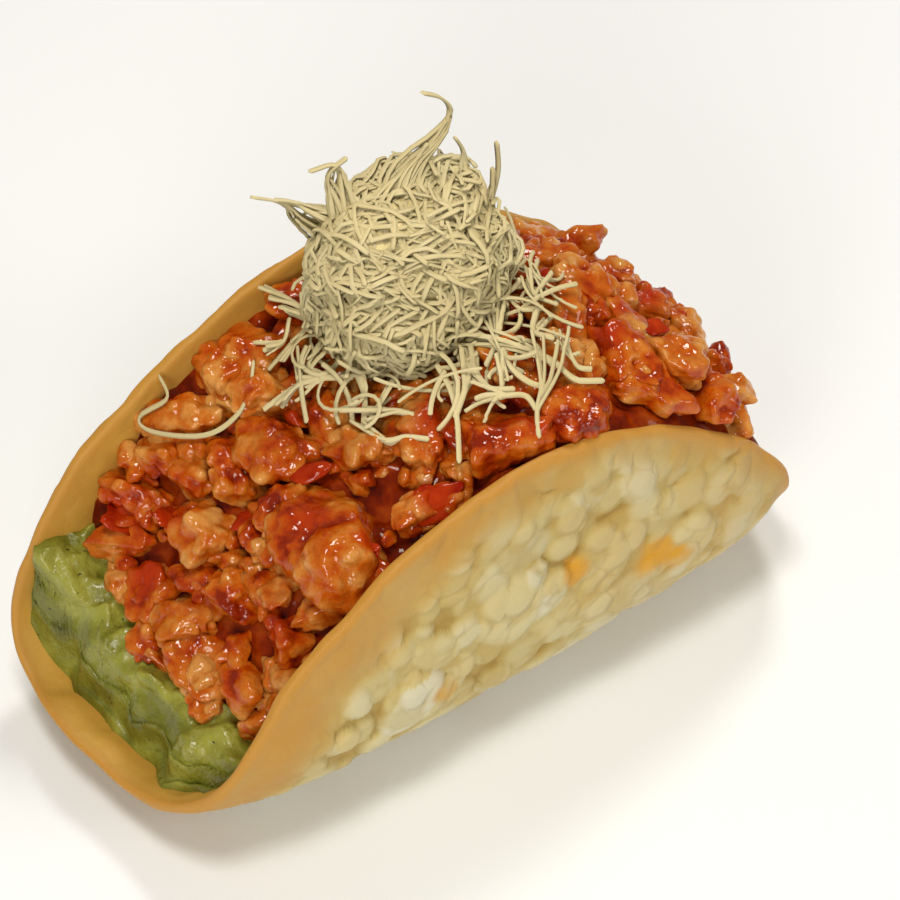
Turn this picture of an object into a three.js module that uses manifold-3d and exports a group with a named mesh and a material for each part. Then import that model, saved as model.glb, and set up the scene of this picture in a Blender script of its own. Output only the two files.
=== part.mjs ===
// A folded soft taco. A small round flour tortilla is fried in a U over its fold line and
// stands on the flat strip along that fold. It holds a layer of guacamole, a heap of chopped
// chicken in chilli sauce, and a tuft of finely grated cheese.
// The fold runs along X, the low front wall is at -Y, the high back wall at +Y, +Z is up.
// All sizes are in millimetres.

import * as THREE from 'three';
import { mergeVertices } from 'three/addons/utils/BufferGeometryUtils.js';
import Module from 'manifold-3d';

const wasm = await Module();
wasm.setup();
const { Manifold, Mesh } = wasm;

// ---- Driving dimensions ----------------------------------------------------------------

const HALF_LENGTH = 54; // half the tortilla's length, along the fold
const FRONT_GIRTH = 68.5; // from the fold line to the front rim, measured round the wall
const BACK_GIRTH = 67;
const THICKNESS = 2.4; // of the tortilla
const FOLD_Y = 5.6; // the fold line lies this far behind the middle of the taco

const FRONT_FLAT = 8.5; // the flat strip reaches this far in front of the fold line
const BACK_FLAT = 7;
const FRONT_BEND = 20.5; // bend radius between the strip and the front wall
const BACK_BEND = 11; // bend radius between the strip and the back wall
const WALL_TURN = THREE.MathUtils.degToRad(92); // the walls lean in by two degrees

const END_RISE = 7.2; // how far the two ends of the fold line curl up
const RISE_START = 15; // the fold line is level this far to each side of the middle
const RISE_POWER = 2.5;

const GAP = 0.3; // clearance between the tortilla and each filling
const LAYER_GAP = 0.35; // clearance between the cheese and what it lies on
const GUACAMOLE_CLEARANCE = 1.1; // the chicken lies this far over it, 0.3 off its steep ends

// ---- Small helpers ---------------------------------------------------------------------

const { clamp, lerp, smoothstep } = THREE.MathUtils;

// Smooth uneven relief between -1 and 1, whose swells are about two units wide.
function relief(x, y, z = 0) {
  return (
    Math.sin(1.9 * x + 1.3 * Math.sin(1.1 * y + 0.7 * z)) *
    Math.cos(1.7 * y - 1.2 * Math.sin(0.9 * x + 1.3 * z) + 0.8 * z)
  );
}

// The manifold solid of a closed three.js geometry.
function solidOf(geometry) {
  const bare = new THREE.BufferGeometry();
  bare.setAttribute('position', geometry.getAttribute('position'));
  if (geometry.index) bare.setIndex(geometry.index);
  const merged = mergeVertices(bare, 1e-3);
  return new Manifold(
    new Mesh({
      numProp: 3,
      vertProperties: new Float32Array(merged.attributes.position.array),
      triVerts: new Uint32Array(merged.index.array),
    })
  );
}

// The three.js geometry of a solid's largest body.
function geometryOf(solid) {
  const bodies = solid.decompose().sort((a, b) => b.volume() - a.volume());
  const mesh = bodies[0].getMesh();
  const geometry = new THREE.BufferGeometry();
  geometry.setAttribute('position', new THREE.BufferAttribute(mesh.vertProperties, 3));
  geometry.setIndex(new THREE.BufferAttribute(mesh.triVerts, 1));
  geometry.computeVertexNormals();
  return geometry;
}

// A closed geometry from a grid of points, grid[row][column]. Each row closes on itself, and
// a fan caps the first row and the last.
function tubeGeometry(grid) {
  const rows = grid.length;
  const columns = grid[0].length;
  const centre = (row) =>
    row.reduce((sum, p) => sum.add(p), new THREE.Vector3()).divideScalar(columns);
  const points = [...grid.flat(), centre(grid[0]), centre(grid[rows - 1])];
  const index = [];
  for (let j = 0; j < columns; j++) {
    const k = (j + 1) % columns;
    for (let i = 0; i < rows - 1; i++) {
      const a = i * columns + j;
      const b = i * columns + k;
      index.push(a, b, b + columns, a, b + columns, a + columns);
    }
    const last = (rows - 1) * columns;
    index.push(rows * columns, k, j);
    index.push(rows * columns + 1, last + j, last + k);
  }
  return new THREE.BufferGeometry().setFromPoints(points).setIndex(index);
}

// ---- The fold --------------------------------------------------------------------------

// How far the fold line has curled up at x.
function rise(x) {
  const share = Math.max(Math.abs(x) - RISE_START, 0) / (HALF_LENGTH - RISE_START);
  return END_RISE * share ** RISE_POWER;
}

// The point of the tortilla at x along the fold and s round the wall from the fold line,
// negative on the front wall. offset moves it square to the sheet, towards the filling.
function foldPoint(x, s, offset = 0) {
  const side = s < 0 ? -1 : 1;
  const flat = s < 0 ? FRONT_FLAT : BACK_FLAT;
  const bend = s < 0 ? FRONT_BEND : BACK_BEND;
  const run = Math.abs(s);
  const turn = clamp((run - flat) / bend, 0, WALL_TURN);
  const wall = Math.max(run - flat - bend * WALL_TURN, 0);
  const inner = bend - offset;
  const across = Math.min(run, flat) + inner * Math.sin(turn) + wall * Math.cos(turn);
  const height = bend - inner * Math.cos(turn) + wall * Math.sin(turn);
  return new THREE.Vector3(x, FOLD_Y + side * across, height + rise(x) + THICKNESS / 2);
}

// Height of the rim at x, on the front wall for side -1 and the back wall for side 1.
function rimHeight(x, side) {
  const share = Math.sqrt(Math.max(1 - (x / HALF_LENGTH) ** 2, 0));
  return foldPoint(x, (side < 0 ? -FRONT_GIRTH : BACK_GIRTH) * share).z;
}

// ---- Tortilla --------------------------------------------------------------------------

const TORTILLA_RINGS = 13;
const TORTILLA_SPOKES = 48;
const SPOKE_CROWDING = 0.4; // the spokes crowd towards the two ends, where the bends are
const BLISTER_HEIGHT = 1.1; // the fried blisters on the outer face
const BLISTER_WIDTH = 3.2;
const BLISTER_START = 3; // they fade in over this stretch past the flat strip
const BLISTER_FULL = 14;
const BLISTER_FADE = [0.78, 0.95]; // and out again, at these shares of the way to the rim
const RIM_WAVE = 0.9; // how far the edge wanders in and out
const EDGE_SHARE = 0.985; // where the rounded edge starts

// Height of the blisters at a share of the way to the rim: none on the strip that the taco
// stands on, nor along the rim.
function blister(x, s, share) {
  const pastFlat = s < 0 ? -s - FRONT_FLAT : s - BACK_FLAT;
  const clearOfBase = smoothstep(pastFlat, BLISTER_START, BLISTER_FULL);
  const clearOfRim = 1 - smoothstep(share, ...BLISTER_FADE);
  const dome = 0.5 + 0.5 * relief(x / BLISTER_WIDTH, s / BLISTER_WIDTH);
  return BLISTER_HEIGHT * dome * clearOfBase * clearOfRim;
}

// One ring of the sheet, at a share of the way from the fold's middle to the rim.
function tortillaRing(share, offset, outside) {
  return Array.from({ length: TORTILLA_SPOKES }, (_, j) => {
    const even = (2 * Math.PI * j) / TORTILLA_SPOKES;
    const angle = even - (SPOKE_CROWDING / 2) * Math.sin(2 * even);
    const wave = RIM_WAVE * share ** 4 * relief(3 * Math.cos(angle), 3 * Math.sin(angle));
    const reach = share * (1 + wave / HALF_LENGTH);
    const girth = angle < Math.PI ? BACK_GIRTH : FRONT_GIRTH;
    const x = HALF_LENGTH * reach * Math.cos(angle);
    const s = girth * reach * Math.sin(angle);
    const bump = outside ? blister(x, s, share) : 0;
    return foldPoint(x, s, offset - bump);
  });
}

// The sheet: rings run from the middle out over the outer face, round the edge and back
// over the inner face. grow thickens it all round, for cutting clearances.
function tortillaGeometry(grow = 0) {
  const half = THICKNESS / 2 + grow;
  const edge = 1 + grow / HALF_LENGTH;
  const rings = [];
  for (let i = 1; i <= TORTILLA_RINGS; i++) {
    rings.push(tortillaRing((EDGE_SHARE * edge * i) / TORTILLA_RINGS, -half, true));
  }
  rings.push(tortillaRing(edge, 0, false));
  for (let i = TORTILLA_RINGS; i >= 1; i--) {
    rings.push(tortillaRing((EDGE_SHARE * edge * i) / TORTILLA_RINGS, half, false));
  }
  return tubeGeometry(rings);
}

// ---- The space in the fold -------------------------------------------------------------

const POCKET_TOP = 120;
const POCKET_STATIONS = 17;
const POCKET_BEND_STEPS = 5;
const POCKET_OVERRUN = 6; // past each end of the tortilla
const FACET_ALLOWANCE = 0.5; // for the flat facets of the tortilla's inner face

// Where the wall of the pocket turns, as distances round the wall from the fold line.
function pocketTurns() {
  const turns = [];
  for (let i = 0; i <= POCKET_BEND_STEPS; i++) {
    const turned = (WALL_TURN * i) / POCKET_BEND_STEPS;
    turns.push(-FRONT_FLAT - FRONT_BEND * turned, BACK_FLAT + BACK_BEND * turned);
  }
  return [-FRONT_GIRTH, ...turns.sort((a, b) => a - b), BACK_GIRTH];
}

// The room between the walls, clear of the tortilla, and straight up from the rims.
function pocketGeometry() {
  const reach = HALF_LENGTH + POCKET_OVERRUN;
  const offset = THICKNESS / 2 + GAP + FACET_ALLOWANCE;
  const turns = pocketTurns();
  const sections = Array.from({ length: POCKET_STATIONS }, (_, i) => {
    const x = lerp(-reach, reach, i / (POCKET_STATIONS - 1));
    const section = turns.map((s) => foldPoint(x, s, offset));
    const [first, last] = [section[0], section[section.length - 1]];
    section.push(
      new THREE.Vector3(x, last.y, POCKET_TOP),
      new THREE.Vector3(x, first.y, POCKET_TOP)
    );
    return section;
  });
  return tubeGeometry(sections);
}

const POCKET_FRONT = FOLD_Y - FRONT_FLAT - FRONT_BEND; // the two walls
const POCKET_BACK = FOLD_Y + BACK_FLAT + BACK_BEND;
const POCKET_MIDDLE = (POCKET_FRONT + POCKET_BACK) / 2;
const POCKET_HALF_WIDTH = (POCKET_BACK - POCKET_FRONT) / 2;

// Place across the pocket: -1 at the front wall, 1 at the back wall.
function acrossShare(y) {
  return clamp((y - POCKET_MIDDLE) / POCKET_HALF_WIDTH, -1, 1);
}

// A block from below the taco up to top(x, y), between two places along the fold.
function blockGeometry(from, to, columns, rows, top) {
  const FLOOR = -10;
  const reach = POCKET_HALF_WIDTH + 3;
  const sections = Array.from({ length: columns + 1 }, (_, i) => {
    const x = lerp(from, to, i / columns);
    const section = Array.from({ length: rows + 1 }, (_, j) => {
      const y = POCKET_MIDDLE + lerp(reach, -reach, j / rows);
      return new THREE.Vector3(x, y, top(x, y));
    });
    section.push(
      new THREE.Vector3(x, POCKET_MIDDLE - reach, FLOOR),
      new THREE.Vector3(x, POCKET_MIDDLE + reach, FLOOR)
    );
    return section;
  });
  return tubeGeometry(sections);
}

// ---- Guacamole -------------------------------------------------------------------------

const GUACAMOLE_TOP = 17; // height of the layer over the ground
const GUACAMOLE_CLIMB = 6; // it climbs the back wall by this much
const GUACAMOLE_DROP = 2.5; // and drops towards the front wall by this much
const GUACAMOLE_NEAR = -50; // where it starts, at the near end
const GUACAMOLE_FAR = 47;
const GUACAMOLE_SLOPE = 8; // length of the sloping face at each end
const GUACAMOLE_FOOT = 3; // below the tortilla's inner face at the ends
const GUACAMOLE_LUMP = 1.1;

function guacamoleTop(x, y) {
  const lump = GUACAMOLE_LUMP * relief(x / 5, y / 5);
  const share = acrossShare(y);
  const slant = share < 0 ? GUACAMOLE_DROP * share : GUACAMOLE_CLIMB * share ** 2;
  const crown = GUACAMOLE_TOP + slant + lump;
  const near = smoothstep(x + lump, GUACAMOLE_NEAR, GUACAMOLE_NEAR + GUACAMOLE_SLOPE);
  const far = smoothstep(-x + lump, -GUACAMOLE_FAR, -GUACAMOLE_FAR + GUACAMOLE_SLOPE);
  return lerp(GUACAMOLE_FOOT, crown, near * far);
}

function guacamoleSolid(raise = 0) {
  const top = (x, y) => guacamoleTop(x, y) + raise;
  return solidOf(blockGeometry(GUACAMOLE_NEAR - 1, GUACAMOLE_FAR + 1, 28, 8, top));
}

// ---- Chicken ---------------------------------------------------------------------------

const HEAP_NEAR = -41; // the two ends of its core
const HEAP_FAR = 46;
const HEAP_FOOT = 13.2; // height at the heap's two ends
const HEAP_RISE = 39; // from there to the crest
const CREST_X = 14; // the crest lies towards the far end
const NEAR_RUN = 56; // from the crest to each end
const FAR_RUN = 38;
const NEAR_ROUNDING = 2.2; // higher is flatter on top and steeper at the end
const FAR_ROUNDING = 2.6;
const CREST_ROUNDING = 0.8;
const ACROSS_ROUNDING = 2.2;
const FRONT_DROP = 4.5; // the heap falls at least this far from its crest to the front wall
const BACK_CLIMB = 8.5; // and leans up the back wall by at most this much
const FRONT_OVER_RIM = 0.5; // how far the heap stands over the front rim at most
const BACK_UNDER_RIM = 1.5;
const CORE_DEPTH = 1.8; // the core lies this far under the tops of the pieces
const CORE_LUMP = 1.1;

// Height of the crest line at x: a lopsided bell.
function crest(x) {
  const near = x < CREST_X;
  const share = clamp(near ? (CREST_X - x) / NEAR_RUN : (x - CREST_X) / FAR_RUN, 0, 1);
  const rounding = near ? NEAR_ROUNDING : FAR_ROUNDING;
  return HEAP_FOOT + HEAP_RISE * (1 - share ** rounding) ** CREST_ROUNDING;
}

// Height of the heap: the crest line, running to where it meets each wall.
function heapTop(x, y) {
  const share = acrossShare(y);
  const crown = crest(x);
  const atWall =
    share < 0
      ? Math.min(crown - FRONT_DROP, rimHeight(x, -1) + FRONT_OVER_RIM)
      : Math.min(crown + BACK_CLIMB, rimHeight(x, 1) - BACK_UNDER_RIM);
  return lerp(crown, atWall, Math.abs(share) ** ACROSS_ROUNDING);
}

// The larger pieces of chicken that show: place along and across the taco, half length,
// half width, and turn in degrees.
const PIECES = [
  [-12, 18, 6.2, 4.8, 30], [-15, 13, 4.0, 3.6, 80], [-24, 19, 4.8, 2.8, 30], [-31, 19, 3.6, 2.8, 40],
  [-35, 17, 4.0, 2.7, 0], [-27, 13, 3.2, 3.0, 60], [-24, 6, 3.0, 2.5, 0], [-18, 5, 4.8, 4.4, 20],
  [-13, 2, 4.6, 2.5, 120], [-11, -4, 5.2, 3.0, 10], [-29, 5, 4.4, 3.8, 0], [-22, -3, 4.2, 3.8, 60],
  [-20, -12, 7.6, 6.8, 150], [-28, -9, 3.5, 2.4, 100], [-32, -4, 4.0, 3.5, 30], [-36, 9, 3.6, 3.3, 0],
  [-36, 2, 5.2, 3.9, 110], [-38, -4, 5.4, 4.2, 100], [-30, -15, 3.6, 3.0, 0], [-36, -12, 4.3, 3.0, 110],
  [-40, 6, 3.4, 2.6, 90], [-38, 16, 3.3, 2.6, 90], [-5, -7, 5.2, 4.0, 100], [2, -15, 6.2, 5.2, 20],
  [13, -18, 4.8, 4.0, 70], [23, -13, 6.8, 3.8, 110], [30, -14, 5.4, 3.5, 110], [25, -20, 4.4, 3.5, 20],
  [22, 0, 4.8, 2.9, 110], [28, 0, 4.8, 3.0, 20], [33, 3, 2.6, 2.2, 0], [34, -6, 3.4, 2.6, 0],
  [38, -10, 3.6, 2.8, 120], [42, -9, 3.2, 2.4, 30],
];
const SMALL_PIECE = 3.7; // shorter ones have coarser facets
const PIECE_RELIEF = 0.16;
const PIECE_HEIGHT = 0.85; // a piece's half height over its half width
const PIECE_SINK = 0.35; // how deep its middle lies under the heap's skin, in half heights

// One lumpy piece, a ball pushed in and out by relief and stretched to its size.
function pieceSolid([x, y, length, width, turn], number, grow) {
  const ball = new THREE.IcosahedronGeometry(1, length > SMALL_PIECE ? 1 : 0);
  const place = ball.getAttribute('position');
  const height = width * PIECE_HEIGHT;
  const p = new THREE.Vector3();
  for (let i = 0; i < place.count; i++) {
    p.fromBufferAttribute(place, i);
    const lump = 1 + PIECE_RELIEF * relief(1.6 * p.x + number, 1.6 * p.y, 1.6 * p.z - number);
    p.multiplyScalar(lump);
    p.set(p.x * (length + grow), p.y * (width + grow), p.z * (height + grow));
    place.setXYZ(i, p.x, p.y, p.z);
  }
  ball.rotateZ(THREE.MathUtils.degToRad(turn));
  ball.translate(x, y, heapTop(x, y) - PIECE_SINK * height);
  return solidOf(ball);
}

// The heap: a smooth core with the larger pieces standing out of it.
function chickenSolid(grow = 0) {
  const top = (x, y) => heapTop(x, y) - CORE_DEPTH + CORE_LUMP * relief(x / 4, y / 4) + grow;
  const core = solidOf(blockGeometry(HEAP_NEAR, HEAP_FAR, 22, 9, top));
  const pieces = PIECES.map((piece, i) => pieceSolid(piece, i, grow));
  return Manifold.union([core, ...pieces]);
}

// ---- Cheese ----------------------------------------------------------------------------

const TUFT_CENTRE = new THREE.Vector3(3.5, 7.5, 57);
const TUFT_RADII = new THREE.Vector3(16.5, 13, 15.5);
const TUFT_RELIEF = 0.16;
const SHRED_RADIUS = 0.75;
const SHRED_SIDES = 6;
const SHRED_STEPS = 7;

// The strands that stand clear of the tuft, as the points that each curls through.
const SHREDS = [
  [[1, 8, 66], [5, 9.6, 73], [11, 9.6, 77], [12, 9.6, 80], [10.5, 9.6, 83], [8, 9.6, 85.5]],
  [[10, 7.6, 64], [12.5, 7.6, 70], [13, 7.6, 74], [11.5, 7.6, 77]],
  [[13, 5.6, 58], [15.5, 5.6, 64], [17, 5.6, 70], [17, 5.6, 75]],
  [[-5, 12, 63], [-8, 13.6, 70], [-11, 13.6, 74], [-15, 13.6, 77]],
  [[-3, 9, 68], [-3, 11.6, 74], [-7, 11.6, 79]],
  [[4, -2, 55], [4, -8, 54.5], [1, -11, 52.5], [-3, -15.5, 50.5]],
  [[-5, 0, 53], [-8, -4, 51], [-9, -8, 49], [-9.5, -13, 47.5]],
  [[11, -1, 55], [16, -6, 54], [20, -11, 52.5], [22, -17, 51]],
  [[-9, 6, 53], [-13, 5, 50], [-17, 6, 47], [-20, 10, 45]],
];

function tuftSolid() {
  const ball = new THREE.IcosahedronGeometry(1, 4);
  const place = ball.getAttribute('position');
  const p = new THREE.Vector3();
  for (let i = 0; i < place.count; i++) {
    p.fromBufferAttribute(place, i);
    p.multiplyScalar(1 + TUFT_RELIEF * relief(4 * p.x, 4 * p.y, 4 * p.z));
    p.multiply(TUFT_RADII).add(TUFT_CENTRE);
    place.setXYZ(i, p.x, p.y, p.z);
  }
  return solidOf(ball);
}

function shredSolid(points) {
  const path = new THREE.CatmullRomCurve3(points.map((p) => new THREE.Vector3(...p)));
  const section = new THREE.Shape();
  section.absarc(0, 0, SHRED_RADIUS, 0, 2 * Math.PI);
  return solidOf(
    new THREE.ExtrudeGeometry(section, {
      extrudePath: path,
      steps: SHRED_STEPS,
      curveSegments: SHRED_SIDES / 2,
      bevelEnabled: false,
    })
  );
}

// ---- Assembly --------------------------------------------------------------------------

const shell = tortillaGeometry();
const pocket = solidOf(pocketGeometry());
const guacamole = pocket.intersect(guacamoleSolid());
const chicken = pocket.intersect(chickenSolid()).subtract(guacamoleSolid(GUACAMOLE_CLEARANCE));
const cheese = Manifold.union([tuftSolid(), ...SHREDS.map(shredSolid)])
  .subtract(chickenSolid(LAYER_GAP))
  .subtract(solidOf(tortillaGeometry(LAYER_GAP)));

const taco = new THREE.Group();

function addNode(name, geometry, colour, roughness) {
  const material = new THREE.MeshStandardMaterial({ color: colour, roughness, metalness: 0 });
  const mesh = new THREE.Mesh(geometry, material);
  mesh.name = name;
  taco.add(mesh);
}

addNode('tortilla', shell, 0xd9bd78, 0.6);
addNode('guacamole', geometryOf(guacamole), 0x9aa84a, 0.35);
addNode('chicken_filling', geometryOf(chicken), 0xc8642c, 0.3);
addNode('grated_cheese', geometryOf(cheese), 0xe6dfae, 0.5);

export default taco;
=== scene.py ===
from math import radians

import bpy
import numpy as np
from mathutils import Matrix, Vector


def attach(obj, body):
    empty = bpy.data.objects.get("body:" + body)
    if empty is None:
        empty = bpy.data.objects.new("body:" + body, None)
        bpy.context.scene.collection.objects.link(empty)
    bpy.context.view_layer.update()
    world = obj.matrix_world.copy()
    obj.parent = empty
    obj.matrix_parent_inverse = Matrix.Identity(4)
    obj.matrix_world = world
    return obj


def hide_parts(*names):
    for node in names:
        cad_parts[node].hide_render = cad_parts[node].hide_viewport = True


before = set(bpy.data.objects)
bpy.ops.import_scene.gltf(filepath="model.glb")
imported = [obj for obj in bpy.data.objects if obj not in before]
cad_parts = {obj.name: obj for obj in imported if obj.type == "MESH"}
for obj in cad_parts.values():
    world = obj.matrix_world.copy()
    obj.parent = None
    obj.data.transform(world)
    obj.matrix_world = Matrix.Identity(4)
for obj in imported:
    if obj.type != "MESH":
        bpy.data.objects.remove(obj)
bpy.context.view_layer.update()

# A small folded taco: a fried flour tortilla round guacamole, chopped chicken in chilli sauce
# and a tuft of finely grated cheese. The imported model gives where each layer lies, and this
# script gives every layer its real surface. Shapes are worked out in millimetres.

# ---- Tortilla -------------------------------------------------------------------------------
# A small flour tortilla, rolled thin and fried in a holder that folds it to a U. The outside
# is covered in soft pale blisters with tan creases between them, and a smooth band that
# browned in the oil runs along the rim.

MM = 0.001
HALF_LENGTH = 54.0
FRONT_GIRTH = 68.5
BACK_GIRTH = 67.0
SHEET = 2.4
FOLD_Y = 5.6
FRONT_FLAT = 8.5
BACK_FLAT = 7.0
FRONT_BEND = 20.5
BACK_BEND = 11.0
WALL_TURN = radians(92)
END_RISE = 7.2
RISE_START = 15.0


def fold_point(x, s, offset=0.0):
    """The point of the sheet at x along the fold and s round the wall from the fold line: a
    flat strip, an arc on each side and a straight wall, lifted at both ends of the fold by a
    power of the distance from the middle. offset moves it square to the sheet, inwards."""
    side = np.where(s < 0, -1.0, 1.0)
    flat = np.where(s < 0, FRONT_FLAT, BACK_FLAT)
    bend = np.where(s < 0, FRONT_BEND, BACK_BEND)
    run = np.abs(s)
    turn = np.clip((run - flat) / bend, 0, WALL_TURN)
    wall = np.maximum(run - flat - bend * WALL_TURN, 0)
    across = np.minimum(run, flat) + (bend - offset) * np.sin(turn) + wall * np.cos(turn)
    height = bend - (bend - offset) * np.cos(turn) + wall * np.sin(turn)
    share = np.maximum(np.abs(x) - RISE_START, 0) / (HALF_LENGTH - RISE_START)
    lift = END_RISE * share**2.5 + SHEET / 2
    return np.stack([x + 0 * s, FOLD_Y + side * across, height + lift], -1)


def smooth(value, low, high):
    """0 under low, 1 over high, and 3t^2 - 2t^3 in between."""
    t = np.clip((value - low) / (high - low), 0, 1)
    return t * t * (3 - 2 * t)


def swell(points, seed):
    """Value noise between -1 and 1. Each corner of a unit lattice has a number scrambled from
    its place, and a point takes the smoothstep blend of its cell's eight corners."""
    cell = np.floor(points).astype(np.int64)
    t = points - cell
    t = t * t * (3 - 2 * t)
    total = np.zeros(points.shape[:-1])
    for corner in np.ndindex(2, 2, 2):
        k = cell + np.array(corner)
        mix = (k[..., 0] * 73856093) ^ (k[..., 1] * 19349663) ^ (k[..., 2] * 83492791)
        mix = ((mix ^ (seed * 40503)) * 2654435761) & 0xFFFFFFFF
        mix = ((mix ^ (mix >> 15)) * 2246822519) & 0xFFFFFFFF
        mix = ((mix ^ (mix >> 13)) * 3266489917) & 0xFFFFFFFF
        value = (mix ^ (mix >> 16)) / 2**31 - 1
        total += value * np.prod(np.where(corner, t, 1 - t), -1)
    return total


def grid_faces(rows, columns, closed):
    """The four-sided faces of a grid of rows by columns points. If closed, the last column
    joins the first."""
    number = np.arange(rows * columns).reshape(rows, columns)
    if closed:
        number = np.hstack([number, number[:, :1]])
    a, b = number[:-1, :-1], number[:-1, 1:]
    c, d = number[1:, 1:], number[1:, :-1]
    return np.stack([a, b, c, d], -1).reshape(-1, 4)


def piece_of(name, points, faces, slot, node, material, marks=None):
    """Makes one mesh piece from points in millimetres and faces, with smooth shading. marks
    are named values at each point, for its material."""
    mesh = bpy.data.meshes.new(name)
    mesh.from_pydata((points * MM).tolist(), [], faces if isinstance(faces, list) else faces.tolist())
    mesh.polygons.foreach_set("use_smooth", np.ones(len(mesh.polygons), bool))
    for title, values in (marks or {}).items():
        mark = mesh.attributes.new(title, "FLOAT", "POINT")
        mark.data.foreach_set("value", np.asarray(values, np.float32).ravel())
    mesh.materials.append(material)
    piece = bpy.data.objects.new(name, mesh)
    bpy.context.collection.objects.link(piece)
    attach(piece, "root")
    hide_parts(node)
    return piece


def new_material(name):
    """An empty material, its node tree and its Principled shader."""
    material = bpy.data.materials.new(name)
    material.use_nodes = True
    tree = material.node_tree
    return material, tree, tree.nodes["Principled BSDF"]


def node(tree, kind, **settings):
    """A new node. Settings that name an input set its value, and the others its properties."""
    made = tree.nodes.new(kind)
    for key, value in settings.items():
        if key in made.inputs:
            made.inputs[key].default_value = value
        else:
            setattr(made, key, value)
    return made


def ramp(tree, source, *stops):
    """A colour ramp over source, with stops of (place, colour)."""
    made = tree.nodes.new("ShaderNodeValToRGB")
    band = made.color_ramp
    while len(band.elements) < len(stops):
        band.elements.new(0.5)
    for element, (place, colour) in zip(band.elements, stops):
        element.position = place
        element.color = (*colour, 1) if len(colour) == 3 else colour
    tree.links.new(source, made.inputs["Fac"])
    return made.outputs["Color"]


def mixed(tree, share, a, b, blend="MIX"):
    """The mix of two colours by a share. Each is a socket or a colour."""
    made = node(tree, "ShaderNodeMix", data_type="RGBA", blend_type=blend)
    for socket, value in ((made.inputs[0], share), (made.inputs[6], a), (made.inputs[7], b)):
        if isinstance(value, bpy.types.NodeSocket):
            tree.links.new(value, socket)
        elif isinstance(value, tuple):
            socket.default_value = (*value, 1)
        else:
            socket.default_value = value
    return made.outputs[2]


def grain_group():
    """The node group that all the finishes take their mottling and fine roughness from: noise
    on Object coordinates, with Scale in swells to the metre, put out as a value of 0 to 1."""
    group = bpy.data.node_groups.new("grain", "ShaderNodeTree")
    group.interface.new_socket("Value", in_out="OUTPUT", socket_type="NodeSocketFloat")
    given = node(group, "NodeGroupInput")
    place = node(group, "ShaderNodeTexCoord")
    cloud = node(group, "ShaderNodeTexNoise")
    group.links.new(place.outputs["Object"], cloud.inputs["Vector"])
    for title in ("Scale", "Detail", "Roughness"):
        group.interface.new_socket(title, in_out="INPUT", socket_type="NodeSocketFloat")
        group.links.new(given.outputs[title], cloud.inputs[title])
    group.links.new(cloud.outputs["Fac"], node(group, "NodeGroupOutput").inputs["Value"])
    return group


GRAIN = grain_group()


def grain(tree, scale, detail=3.0, rough=0.55):
    """The grain group placed in a material with its own values."""
    made = node(tree, "ShaderNodeGroup", node_tree=GRAIN, Scale=scale, Detail=detail, Roughness=rough)
    return made.outputs["Value"]


def vector_math(tree, operation, *values):
    """The vector that an operation makes from sockets or constant vectors."""
    made = node(tree, "ShaderNodeVectorMath", operation=operation)
    for socket, value in zip(made.inputs, values):
        if isinstance(value, bpy.types.NodeSocket):
            tree.links.new(value, socket)
        else:
            socket.default_value = value
    return made.outputs["Vector"]


def warped(tree, scale, reach):
    """Object coordinates plus reach metres times coloured noise."""
    place = node(tree, "ShaderNodeTexCoord").outputs["Object"]
    cloud = node(tree, "ShaderNodeTexNoise", Scale=scale, Detail=2)
    tree.links.new(place, cloud.inputs["Vector"])
    return vector_math(tree, "MULTIPLY_ADD", cloud.outputs["Color"], (reach, reach, reach), place)


def mark(tree, title):
    """The value that the mesh carries under title."""
    return node(tree, "ShaderNodeAttribute", attribute_name=title).outputs["Fac"]


def bumped(tree, shader, source, depth, before=None):
    """Feeds the shader's normal with a bump of depth metres from source, over an earlier one."""
    bump = node(tree, "ShaderNodeBump", Distance=depth)
    tree.links.new(source, bump.inputs["Height"])
    if before:
        tree.links.new(before, bump.inputs["Normal"])
    tree.links.new(bump.outputs["Normal"], shader.inputs["Normal"])
    return bump.outputs["Normal"]


OUTER_RINGS = 118
INNER_RINGS = 30
SPOKES = 540
EDGE_START = 0.985
EDGE_SHARES = [0.994, 0.9985, 1.0, 0.9985, 0.994]
RIM_REACH = 62.0
BLISTER_PITCH = 4.0
BLISTER_DEPTH = 1.3

# The odd large blisters and the scorched spots: place along the fold, distance round the
# wall from the fold line, and radius.
LARGE_BLISTERS = [[-3.3, -46.0, 6.2], [-19, -38, 5.4], [14, -36, 5.0], [27, -40, 4.8]]
SCORCHES = [[7.4, -46.3, 3.0], [20.5, -41.5, 4.2], [24.0, -38.5, 3.4], [-13.8, -37.8, 2.8]]


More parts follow.
